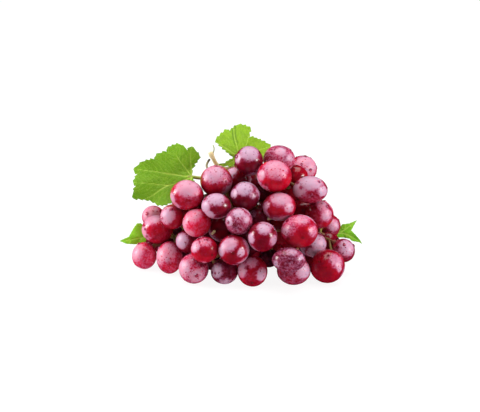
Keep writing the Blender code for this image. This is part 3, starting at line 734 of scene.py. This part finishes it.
def berry_skin():
    """Crimson skin that light sinks into, under patches of wax with ragged edges, which also
    paint highlights where the softboxes shine.
    """
    nodes = Nodes("berry skin")
    place = nodes.object_place()
    blotches = nodes.range(nodes.noise(place, 130, 3), 0.3, 0.7, -0.1, 0.1)
    tone = nodes.sum("ADD", nodes.attribute("tone"), blotches)
    specks = nodes.range(nodes.noise(place, 1500, 2), 0.62, 0.72)
    speck_share = nodes.sum("MULTIPLY", specks, 0.12)
    skin = nodes.mix(speck_share, nodes.ramp(tone, SKIN_STOPS), SPECK_COLOUR)

    # How thick the wax is, with the painted highlights of its patches
    bloom_and_highlight = nodes.attribute("bloom_and_highlight")
    ragged = nodes.range(nodes.noise(place, 460, 6, 0.7, 0.5), 0.3, 0.7, -0.22, 0.22)
    ragged = nodes.sum("MULTIPLY", ragged, nodes.range(bloom_and_highlight, 0.0, 0.4, 0.3, 1.0))
    wobble = nodes.add("ShaderNodeTexNoise", Vector=place, Scale=700.0).outputs["Color"]
    bent = nodes.mix(0.004, place, wobble)
    cells = nodes.add("ShaderNodeTexVoronoi", Vector=bent, Scale=380.0).outputs["Distance"]
    rubbed = nodes.range(nodes.noise(place, 110, 1), 0.38, 0.55)
    spots = nodes.sum("MULTIPLY", nodes.range(cells, 0.14, 0.28, 1.0, 0.0), rubbed)
    bloom_and_highlight_depth = nodes.sum("ADD", bloom_and_highlight, ragged)
    bloom_and_highlight_depth = nodes.sum("SUBTRACT", bloom_and_highlight_depth, nodes.sum("MULTIPLY", spots, 0.9))
    bloom_and_highlight_cover = nodes.range(bloom_and_highlight_depth, 0.1, 0.95)

    film = nodes.mix(tone, *FILM_COLOURS)
    wax_and_highlight = nodes.mix(nodes.range(tone, 0.1, 0.6), *WAX_AND_HIGHLIGHT_COLOURS)
    colour = nodes.mix(nodes.range(bloom_and_highlight_depth, 0.05, 0.5, 0.0, 0.6), skin, film)
    # Pale wax over the skin, which also paints the softboxes' highlights in the patches
    nodes.shade(
        Base_Color=nodes.mix(nodes.sum("MULTIPLY", bloom_and_highlight_cover, 0.8), colour, wax_and_highlight),
        Roughness=nodes.range(bloom_and_highlight_cover, 0.0, 0.8, 0.2, 0.42),
        Specular_IOR_Level=0.5,
        Subsurface_Weight=0.3,
        Subsurface_Radius=(1.0, 0.1, 0.1),
        Subsurface_Scale=0.003,
    )
    nodes.bump(nodes.sum("ADD", bloom_and_highlight_depth, nodes.noise(place, 2200, 2)), 0.00004)
    return nodes.material


def clear_water():
    """Water droplets, tinted pink to darken them: partly for the wetted skin under them, partly
    as painted shade for their dark rims.
    """
    nodes = Nodes("water")
    nodes.shade(Base_Color=WETTING_AND_SHADE_TINT, Roughness=0.04, IOR=1.33, Transmission_Weight=1.0)
    return nodes.material


def stem_skin(name, young, old, dark, end=None):
    """Stem bark with streaks along it, small dark specks and perhaps a withered end."""
    nodes = Nodes(name)
    grain = nodes.attribute("grain", "Vector")
    place = nodes.object_place()
    streaks = nodes.noise(grain, 900, 4, 0.6)
    patches = nodes.noise(place, 120, 3)
    colour = nodes.mix(nodes.range(patches, 0.4, 0.62), young, old)
    colour = nodes.mix(nodes.range(streaks, 0.35, 0.75, 0.0, 0.5), colour, dark)
    specks = nodes.range(nodes.noise(place, 1400, 1), 0.66, 0.74, 0.0, 0.7)
    colour = nodes.mix(specks, colour, dark)
    if end:
        along = nodes.add("ShaderNodeSeparateXYZ", Vector=grain).outputs["Z"]
        colour = nodes.mix(nodes.range(along, *WITHERED, 0.95, 0.0), colour, end)
    nodes.shade(
        Base_Color=colour,
        Roughness=nodes.range(streaks, 0.3, 0.7, 0.45, 0.7),
        Subsurface_Weight=0.1,
        Subsurface_Scale=0.001,
    )
    nodes.bump(streaks, 0.0002)
    return nodes.material


def leaf_skin(name, middle, bright, vein_colour):
    """A leaf's face, with its veins, the fine net between them, painted light that grows towards
    its top and painted shade beside its first vein.
    """
    nodes = Nodes(name)
    place = nodes.object_place()
    edges = nodes.add(
        "ShaderNodeTexVoronoi", {"feature": "DISTANCE_TO_EDGE"}, Vector=place, Scale=650.0
    ).outputs["Distance"]
    net = nodes.range(edges, 0.0, 0.12, 1.0, 0.0)
    mottle = nodes.noise(place, 220, 4)
    mottling = nodes.range(mottle, 0.3, 0.7, -0.25, 0.25)
    # Painted light: the leaf lighter towards its top
    colour = nodes.mix(nodes.sum("ADD", nodes.attribute("light"), mottling), middle, bright)
    colour = nodes.mix(nodes.sum("MULTIPLY", net, 0.16), colour, vein_colour)
    # Painted shade in the fold beside the first vein
    colour = nodes.mix(nodes.attribute("fold"), colour, FOLD_SHADE_COLOUR)
    vein = nodes.sum("MULTIPLY", nodes.attribute("vein"), 0.9)
    nodes.shade(
        Base_Color=nodes.mix(vein, colour, vein_colour),
        Roughness=nodes.range(mottle, 0.3, 0.7, 0.42, 0.58),
        Specular_IOR_Level=0.25,
        Subsurface_Weight=0.25,
        Subsurface_Radius=(0.6, 1.0, 0.2),
        Subsurface_Scale=0.001,
    )
    nodes.bump(nodes.sum("ADD", net, mottle), 0.00012)
    return nodes.material


def new_piece(name, vertices, faces, material, node, slot, values=()):
    """A smooth mesh in millimetres as a piece that stands for a CAD node."""
    mesh = bpy.data.meshes.new(name)
    mesh.from_pydata(placed(vertices).tolist(), [], faces)
    mesh.shade_smooth()
    for label, kind, numbers in values:
        layer = mesh.attributes.new(label, kind, "POINT")
        layer.data.foreach_set("value" if kind == "FLOAT" else "vector", np.ravel(numbers))
    mesh.materials.append(material)
    piece = bpy.data.objects.new(name, mesh)
    bpy.context.scene.collection.objects.link(piece)
    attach(piece, "root")
    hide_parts(node)


def shifted(faces, start):
    """The faces as they are numbered when vertex 0 becomes number start."""
    return [tuple(corner + start for corner in face) for face in faces]


def globe(sides, rings, crowding=0.0):
    """Directions over a sphere with its poles along Z, the faces between them, and the
    angle of each from the +Z pole. Crowding draws the rings towards the poles."""
    step = np.linspace(0, 1, rings + 1)[1:-1]
    polar = math.pi * step - crowding * np.sin(2 * math.pi * step) / 2
    around = 2 * math.pi * np.arange(sides) / sides
    ring = np.stack([np.cos(around), np.sin(around)], axis=-1)
    flat = np.sin(polar)[:, None, None] * ring
    rise = np.broadcast_to(np.cos(polar)[:, None, None], (len(polar), sides, 1))
    middle = np.concatenate([flat, rise], axis=-1).reshape(-1, 3)
    directions = np.vstack([[0, 0, 1], middle, [0, 0, -1]])
    last = len(directions) - 1
    faces = []
    for side in range(sides):
        after = (side + 1) % sides
        faces.append((0, 1 + side, 1 + after))
        for first in range(1, last - sides, sides):
            over = first + sides
            faces.append((first + side, over + side, over + after, first + after))
        faces.append((last - sides + side, last, last - sides + after))
    return directions, faces, np.concatenate([[0], np.repeat(polar, sides), [math.pi]])


def turned_to(direction):
    """A turn that brings +Z to a direction, as a matrix."""
    direction = unit(direction)
    side = unit(np.cross(direction, SIDE_HINT))
    return np.stack([side, np.cross(direction, side), direction], axis=1)


def smooth_step(values, low, high):
    """From 0 at low to 1 at high."""
    share = np.clip((values - low) / (high - low), 0, 1)
    return share * share * (3 - 2 * share)


def hump(distance, width):
    """1 at no distance, falling off over the width."""
    return np.exp(-((distance / width) ** 2))


def picture_direction(across, up):
    """The way out of a berry through the point across and up on its disc."""
    return across * RIGHT + up * UP - math.sqrt(max(0.0, 1 - across**2 - up**2)) * AWAY


def chance_patches(random, count):
    """Patches of thicker wax by chance, on the far half of a berry."""
    patches = []
    while len(patches) < count:
        way = unit(random.normal(0, 1, 3))
        if way @ AWAY >= 0:
            sizes = random.uniform(*CHANCE_SIZES), random.uniform(*CHANCE_STRENGTHS)
            patches.append((way, *sizes))
    return patches


def bloom_and_highlight_on(outward, base, patches):
    """How thick the wax, which also paints highlights, is where the skin faces outward."""
    bloom_and_highlight = np.full(len(outward), base)
    for way, size, strength in patches:
        angle = np.arccos(np.clip(outward @ way, -1, 1))
        edges = (PATCH_EDGE[0] * size, PATCH_EDGE[1] * size)
        bloom_and_highlight = np.maximum(bloom_and_highlight, strength * smooth_step(angle, *edges))
    return bloom_and_highlight


def add_berries(middles, radii, stem_ways, material):
    """Every berry as its own piece, with the pit where its stem goes in and a scar opposite."""
    directions, faces, polar = globe(BERRY_SIDES, BERRY_RINGS, POLE_CROWDING)
    relief = 1 - PIT_DEPTH * hump(polar, PIT_WIDTH)
    relief += SCAR_HEIGHT * hump(math.pi - polar, SCAR_WIDTH)
    random = np.random.default_rng(LOOKS_SEED)
    axes = np.stack([RIGHT, UP, AWAY])
    for number, (middle, size) in enumerate(zip(middles, radii)):
        shape = axes.T @ np.diag(size) @ axes
        turn = turned_to(np.linalg.solve(shape, stem_ways[number]))
        outward = directions @ turn.T
        waves = random.normal(0, WAVE_TURNS, (UNEVEN_WAVES, 3))
        phases = random.uniform(0, 2 * math.pi, UNEVEN_WAVES)
        uneven = UNEVENNESS * np.sin(outward @ waves.T + phases).sum(axis=1)
        vertices = middle + (outward * (relief + uneven)[:, None]) @ shape.T
        vertices[:, 2] = np.maximum(vertices[:, 2], 0)
        if number < len(BERRY_LOOKS):
            # The listed patches are thicker bloom and painted highlights of the softboxes
            tone, base, seen_bloom_and_highlights = BERRY_LOOKS[number]
            patches = [(picture_direction(*row[:2]), *row[2:]) for row in seen_bloom_and_highlights]
            patches += chance_patches(random, FAR_PATCHES)
        else:
            tone, base = random.uniform(*CHANCE_TONES), HIDDEN_BLOOM
            patches = chance_patches(random, HIDDEN_PATCHES)
        bloom_and_highlight = bloom_and_highlight_on(outward, base, patches)
        values = (("bloom_and_highlight", "FLOAT", bloom_and_highlight), ("tone", "FLOAT", np.full(len(bloom_and_highlight), tone)))
        name = f"berry_{number + 1:02d}"
        new_piece(name, vertices, faces, material, "bunch", "berry_skin", values)


def add_droplets(middles, radii, material):
    """Small drops of water on the berries, each a low dome that is half in the skin."""
    directions, faces, _ = globe(DROPLET_SIDES, DROPLET_RINGS)
    random = np.random.default_rng(DROPLET_SEED)
    least, most = DROPLET_SIZES
    vertices, all_faces = [], []
    for number, (middle, size) in enumerate(zip(middles, radii)):
        others = np.arange(len(middles)) != number
        for _ in range(DROPLETS_PER_BERRY):
            outward = random.normal(0, 1, 3)
            outward[2] += DROPLET_RISE
            outward = unit(outward)
            wide = least + (most - least) * random.uniform() ** 2
            point = middle + outward * reach(size, outward)
            gap = np.linalg.norm(middles[others] - point, axis=1) - radii[others].mean(axis=1)
            if gap.min() < wide + DROPLET_ROOM or point[2] < DROPLET_LOWEST:
                continue
            shape = directions * (wide, wide, wide * DROPLET_HEIGHT)
            all_faces += shifted(faces, len(vertices) * len(directions))
            vertices.append(point + shape @ turned_to(outward).T)
    new_piece("droplets", np.vstack(vertices), all_faces, material, "bunch", "berry_skin")


def curve_through(points, steps=SMOOTHING):
    """More points on a smooth curve through the given rows, steps to each stretch."""
    points = np.asarray(points, float)
    rows = np.vstack([2 * points[0] - points[1], points, 2 * points[-1] - points[-2]])
    share = (np.arange(steps) / steps)[:, None]
    curve = []
    for before, start, end, after in zip(rows, rows[1:], rows[2:], rows[3:]):
        bend = 2 * before - 5 * start + 4 * end - after
        twist = 3 * (start - end) + after - before
        curve.append(start + 0.5 * share * ((end - before) + share * (bend + share * twist)))
    return np.vstack(curve + [points[-1]])


def lengths_along(path):
    """How far along a path each of its points is."""
    return np.concatenate([[0], np.cumsum(np.linalg.norm(np.diff(path, axis=0), axis=1))])


def fine_tube(path, radii):
    """A closed tube with rounded ends, and its grain: round the tube and along it in metres."""
    radii = np.broadcast_to(radii, len(path))
    heading = np.gradient(path, axis=0)
    heading /= np.linalg.norm(heading, axis=1)[:, None]
    along = GRAIN_STRETCH * lengths_along(path)
    side = np.cross(heading[0], SIDE_HINT)
    around = 2 * math.pi * np.arange(TUBE_SIDES)[:, None] / TUBE_SIDES
    vertices, grain = [], []
    for point, way, radius, far in zip(path, heading, radii, along):
        side = unit(side - way * (side @ way))
        ring = np.cos(around) * side + np.sin(around) * np.cross(way, side)
        vertices.append(point + radius * ring)
        flat = radius * np.cos(around), radius * np.sin(around)
        grain.append(np.column_stack([*flat, np.full(TUBE_SIDES, far)]))
    vertices.append(path[0] - heading[0] * radii[0] * TUBE_END)
    vertices.append(path[-1] + heading[-1] * radii[-1] * TUBE_END)
    grain += [[0, 0, 0], [0, 0, along[-1]]]
    count = len(path) * TUBE_SIDES
    last = count - TUBE_SIDES
    faces = []
    for step in range(TUBE_SIDES):
        after = (step + 1) % TUBE_SIDES
        faces.append((count, after, step))
        for ring in range(0, last, TUBE_SIDES):
            over = ring + TUBE_SIDES
            faces.append((ring + step, ring + after, over + after, over + step))
        faces.append((count + 1, last + step, last + after))
    return np.vstack(vertices), faces, np.vstack(grain) * MM


def add_tubes(name, tubes, material, node="bunch", slot="stalk_bark"):
    """Tubes, each with its grain, as one piece."""
    faces = []
    start = 0
    for vertices, own_faces, _ in tubes:
        faces += shifted(own_faces, start)
        start += len(vertices)
    vertices, grain = (np.vstack([tube[part] for tube in tubes]) for part in (0, 2))
    values = [("grain", "FLOAT_VECTOR", grain)]
    new_piece(name, vertices, faces, material, node, slot, values)


def seen_tube(points, radius):
    """A tube through points that are read in the picture."""
    return fine_tube(curve_through([seen(*point) for point in points]), radius)


def add_stems(stems):
    """The main stem and its arms, the pedicels, each swollen where it holds its berry, and the
    bare twigs. The first twig is bowed to the left."""
    tubes, twigs = [], []
    for path in (TRUNK, LEFT_ARM, TOP_ARM):
        rows = curve_through(path)
        tubes.append(fine_tube(rows[:, :3], rows[:, 3]))
    for index, path, radius in stems:
        path = curve_through(path)
        along = lengths_along(path)
        radii = PEDICEL_RADIUS + (radius - PEDICEL_RADIUS) * (along / along[-1]) ** 2
        if index is not None:
            swell = RECEPTACLE_SWELL * hump(along - PEDICEL_SUNK, RECEPTACLE_LENGTH)
            tubes.append(fine_tube(path, radii + swell))
            continue
        if not twigs:
            bow = TWIG_BOW * np.sin(math.pi * np.minimum(along / TWIG_BOW_LENGTH, 1))
            path = path - bow[:, None] * RIGHT
        twigs.append(fine_tube(path, radii))
    add_tubes("stems", tubes, stem_skin("green stem", *GREEN_STEM))
    add_tubes("twigs", twigs, stem_skin("bare twig", *BARE_TWIG))


def add_dry_ends():
    """The pale ends of pedicels that lost their berry, the peduncle with its swollen cut end,
    and the tendril beside it."""
    bark = stem_skin("dry stem", *DRY_STEM)
    add_tubes("stubs", [seen_tube(stub, STUB_RADIUS) for stub in STUBS], bark)
    rows = curve_through(np.column_stack(stalk_path()))
    add_tubes("peduncle", [fine_tube(rows[:, :3], rows[:, 3])], bark, "stalk")
    tendril = seen_tube(TENDRIL, TENDRIL_RADIUS)
    add_tubes("tendril", [tendril], stem_skin("tendril", *TENDRIL_BARK), "stalk")


def toothed(outline, tooth_length, tooth_height):
    """The leaf's outline with small pointed teeth along it."""
    outline = np.array(outline)
    sides = np.roll(outline, -1, axis=0) - outline
    middle = outline.mean(axis=0)
    points = []
    for corner, side in zip(outline, sides):
        length = np.linalg.norm(side)
        count = max(1, round(length / EDGE_STEP))
        normal = np.array([side[1], -side[0]]) / length
        if normal @ (corner + side / 2 - middle) < 0:
            normal = -normal
        teeth = max(1, round(length / tooth_length))
        for step in range(count):
            tooth, share = divmod(step / count * teeth, 1)
            change = abs(math.sin(TOOTH_CHANGE * tooth + length))
            peak = tooth_height * (TOOTH_LEAST + (1 - TOOTH_LEAST) * change)
            height = peak * min(share / TOOTH_PEAK, (1 - share) / (1 - TOOTH_PEAK))
            height -= TOOTH_SUNK * tooth_height
            points.append(corner + side * step / count + normal * height)
    return np.array(points)


def point_at(path, along, length):
    """The point this far along a flat path."""
    return np.array([np.interp(length, along, path[:, axis]) for axis in (0, 1)])


def side_veins(veins):
    """Thinner veins that leave the main ones on both sides, towards the edge."""
    found = []
    for vein in veins:
        fine = curve_through(vein, SIDE_VEIN_STEPS)
        along = lengths_along(fine)
        start = SIDE_VEIN_SPACING
        while start < along[-1] - SIDE_VEIN_END:
            point = point_at(fine, along, start)
            ahead = point_at(fine, along, start + 1) - point
            heading = math.atan2(ahead[1], ahead[0])
            length = SIDE_VEIN_LENGTH[0] + SIDE_VEIN_LENGTH[1] * (along[-1] - start)
            for side in (-1, 1):
                line = [point]
                for share in (1, SIDE_VEIN_BEND):
                    angle = heading + side * SIDE_VEIN_ANGLE * share
                    way = np.array([math.cos(angle), math.sin(angle)])
                    line.append(line[-1] + length / 2 * way)
                found.append(line)
            start += SIDE_VEIN_SPACING
    return found


def distance_to(points, lines):
    """Each point's distance to the nearest of the lines, and how far along that one it is."""
    nearest = np.full(len(points), np.inf)
    share = np.zeros(len(points))
    for line in lines:
        fine = curve_through(line, VEIN_STEPS)
        for number, (start, end) in enumerate(zip(fine, fine[1:])):
            way = end - start
            along = np.clip((points - start) @ way / (way @ way), 0, 1)
            gap = np.linalg.norm(points - start - along[:, None] * way, axis=1)
            closer = gap < nearest
            nearest[closer] = gap[closer]
            share[closer] = (number + along[closer]) / (len(fine) - 1)
    return nearest, share


def flat_mesh(edge):
    """Triangles over all that is inside the edge, as across and up."""
    low, high = edge.min(axis=0), edge.max(axis=0)
    grid = [
        (across, up)
        for row, up in enumerate(np.arange(low[1], high[1], MESH_STEP * ROW_SHARE))
        for across in np.arange(low[0] + (row % 2) * MESH_STEP / 2, high[0], MESH_STEP)
    ]
    points = [Vector(point) for point in np.vstack([edge, grid])]
    ring = list(range(len(edge)))
    flat, _, faces, *_ = geometry.delaunay_2d_cdt(points, [], [ring], 1, SAME_POINT)
    return np.array(flat), faces


def two_faced(flat, faces, away):
    """A leaf's two faces, LEAF_THICKNESS apart, and the rim between them."""
    vertices = [
        seen(*point, depth + face * LEAF_THICKNESS)
        for face in (-0.5, 0.5)
        for point, depth in zip(flat, away)
    ]
    count = len(flat)
    edges = dict.fromkeys(
        pair for face in faces for pair in zip(face, list(face[1:]) + [face[0]])
    )
    both = shifted(faces, 0) + [face[::-1] for face in shifted(faces, count)]
    for start, end in edges:
        if (end, start) not in edges:
            both.append((end, start, start + count, end + count))
    return np.array(vertices), both


def add_leaf(leaf):
    """A leaf with toothed edge, sunken veins and the skin puffed up between them."""
    name = leaf["name"]
    veins = LEAF_VEINS[name]
    edge = toothed(leaf["outline"], *LEAF_TEETH.get(name, SMALL_TEETH))
    flat, faces = flat_mesh(edge)
    gap, share = distance_to(flat, veins)
    side_gap, _ = distance_to(flat, side_veins(veins))
    # Painted shade on both sides of the first vein, where the leaf folds
    fold_gap, fold_share = distance_to(flat, veins[:1])
    fold = FOLD_SHADES.get(name, 0) * hump(fold_gap - FOLD_PLACE, FOLD_WIDTH)
    fold *= smooth_step(fold_share, *FOLD_START)
    side_vein = SIDE_VEIN_SHARE * hump(side_gap, SIDE_VEIN_WIDTH)
    vein = np.maximum(hump(gap, VEIN_WIDTH * (VEIN_TAPER - share)), side_vein)
    puffed = 1 - np.exp(-np.minimum(gap, side_gap) / PUFF_WIDTH)
    away = leaf_away(leaf, flat) + VEIN_DEPTH * vein - PUFF * puffed
    # Painted light, growing from the bottom of the leaf to its top
    low, high = edge[:, 1].min(), edge[:, 1].max()
    light = np.clip((flat[:, 1] - low) / (high - low), 0, 1) * LIGHT_GAIN + LEAST_LIGHT
    looks = (("vein", vein), ("light", light), ("fold", fold))
    values = [(label, "FLOAT", np.tile(numbers, 2)) for label, numbers in looks]
    skin = leaf_skin(name, *LEAF_COLOURS[name])
    slot = {"leaf_left": "leaf", "leaf_top": "young_leaf"}.get(name, "small_leaf")
    new_piece(name + "_blade", *two_faced(flat, faces, away), skin, name, slot, values)
    if leaf["petiole"]:
        radius, *colours = PETIOLE_LOOKS[name]
        tube = seen_tube(leaf["petiole"], radius)
        add_tubes(name + "_petiole", [tube], stem_skin(name + " petiole", *colours), name, slot)


def add_floor():
    """A plain white floor, which isn't part of the object."""
    mesh = bpy.data.meshes.new("floor")
    corners = FLOOR_HALF * np.array([(-1, -1, 0), (1, -1, 0), (1, 1, 0), (-1, 1, 0)])
    mesh.from_pydata(corners.tolist(), [], [(0, 1, 2, 3)])
    floor = bpy.data.objects.new("floor", mesh)
    bpy.context.scene.collection.objects.link(floor)
    nodes = Nodes("floor")
    nodes.shade(
        Base_Color=(FLOOR_GREY, FLOOR_GREY, FLOOR_GREY, 1),
        Emission_Color=(1, 1, 1, 1),
        Emission_Strength=FLOOR_GLOW,
        Roughness=0.8,
    )
    mesh.materials.append(nodes.material)
    floor.visible_glossy = False


def add_softbox(name, place, size, watts):
    """A square light that faces the bunch."""
    light = bpy.data.lights.new(name, "AREA")
    light.size = size
    light.energy = watts
    lamp = bpy.data.objects.new(name, light)
    lamp.location = place
    lamp.rotation_euler = (Vector(LIT_POINT) - lamp.location).to_track_quat("-Z", "Y").to_euler()
    bpy.context.scene.collection.objects.link(lamp)


def add_lights():
    """Three softboxes in an evenly white studio."""
    for box in SOFTBOXES:
        add_softbox(*box)
    world = bpy.data.worlds.new("studio")
    world.use_nodes = True
    sky = world.node_tree.nodes["Background"].inputs
    sky["Color"].default_value = (1, 1, 1, 1)
    sky["Strength"].default_value = SKY_STRENGTH
    world.cycles_visibility.glossy = False
    bpy.context.scene.world = world
    bpy.context.scene.view_settings.view_transform = "Standard"


def add_camera():
    """The camera at the photograph's place. The whole frame is FRAME_WIDTH wide at the bunch."""
    data = bpy.data.cameras.new("camera")
    data.sensor_width = SENSOR
    data.lens = SENSOR * VIEW_DISTANCE / FRAME_WIDTH
    data.clip_start, data.clip_end = 0.05, 50
    camera = bpy.data.objects.new("camera", data)
    eye = placed(VIEW_CENTRE[0] * RIGHT + VIEW_CENTRE[1] * UP - VIEW_DISTANCE * AWAY)
    turn = Matrix(np.stack([RIGHT, UP, -AWAY], axis=1).tolist()).to_4x4()
    camera.matrix_world = Matrix.Translation(Vector(eye)) @ turn
    bpy.context.scene.collection.objects.link(camera)
    bpy.context.scene.camera = camera


add_camera()
add_lights()
add_floor()

main_stem = np.vstack([stem_points(path) for path in (TRUNK, LEFT_ARM, TOP_ARM)])
obstacles = [(*point, STALK_ROOM) for point in stalk_path()[0]]
for leaf in LEAVES:
    obstacles += [(*point, LEAF_ROOM) for point in blade_points(leaf)]
    obstacles += [(*seen(*point), STALK_ROOM) for point in leaf["petiole"]]
obstacles = np.array(obstacles)
berries = [berry_in_sight(*row) for row in BERRIES_IN_SIGHT]
hidden = np.array(BERRIES_OUT_OF_SIGHT)
middles = np.vstack([middle for middle, _ in berries] + [hidden[:, :3]])
radii = np.vstack([size for _, size in berries] + [np.repeat(hidden[:, 3:], 3, axis=1)])
stems = grown_stems(middles, radii, main_stem, obstacles)
stem_ways = {index: path[1] - middles[index] for index, path, _ in stems if index is not None}
for index, (across, up) in NUDGES.items():
    middles[index] += across * RIGHT + up * UP

add_berries(middles, radii, stem_ways, berry_skin())
add_droplets(middles, radii, clear_water())
add_stems(stems)
add_dry_ends()
for leaf in LEAVES:
    add_leaf(leaf)
